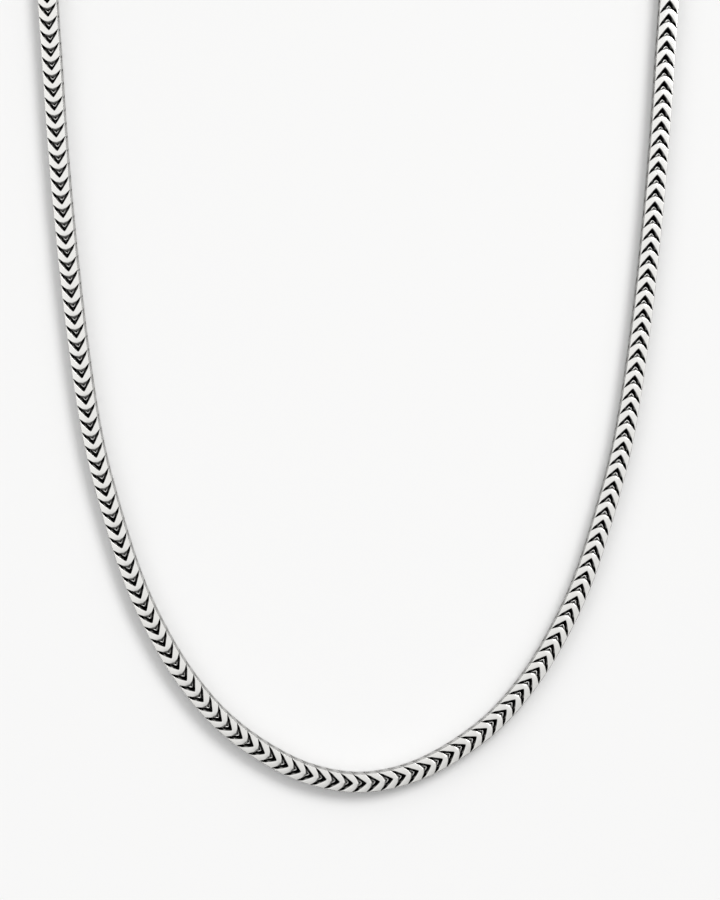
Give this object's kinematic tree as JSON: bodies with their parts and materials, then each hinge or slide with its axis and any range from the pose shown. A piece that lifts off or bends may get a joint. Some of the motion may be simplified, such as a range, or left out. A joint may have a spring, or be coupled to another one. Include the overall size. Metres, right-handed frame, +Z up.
{
  "type": "franco chain necklace",
  "caption": "Square franco chain necklace lying flat as a closed loop, with cup end caps, a ring and a plain hook clasp at the back.",
  "frame": {"origin": "middle of the lying loop's outline, on the surface that it rests on", "axes": "+Y from the bottom of the U to the clasp, +Z up out of the surface"},
  "size_m": [0.1382, 0.2381, 0.0052],
  "materials": {
    "chain_silver": "polished flats with dark recesses between the links",
    "fitting_silver": "polished"
  },
  "bodies": {
    "root": {"chain": "chain_silver", "end_cap_left": "fitting_silver", "end_cap_right": "fitting_silver", "ring": "fitting_silver", "clasp": "fitting_silver"}
  },
  "joints": []
}
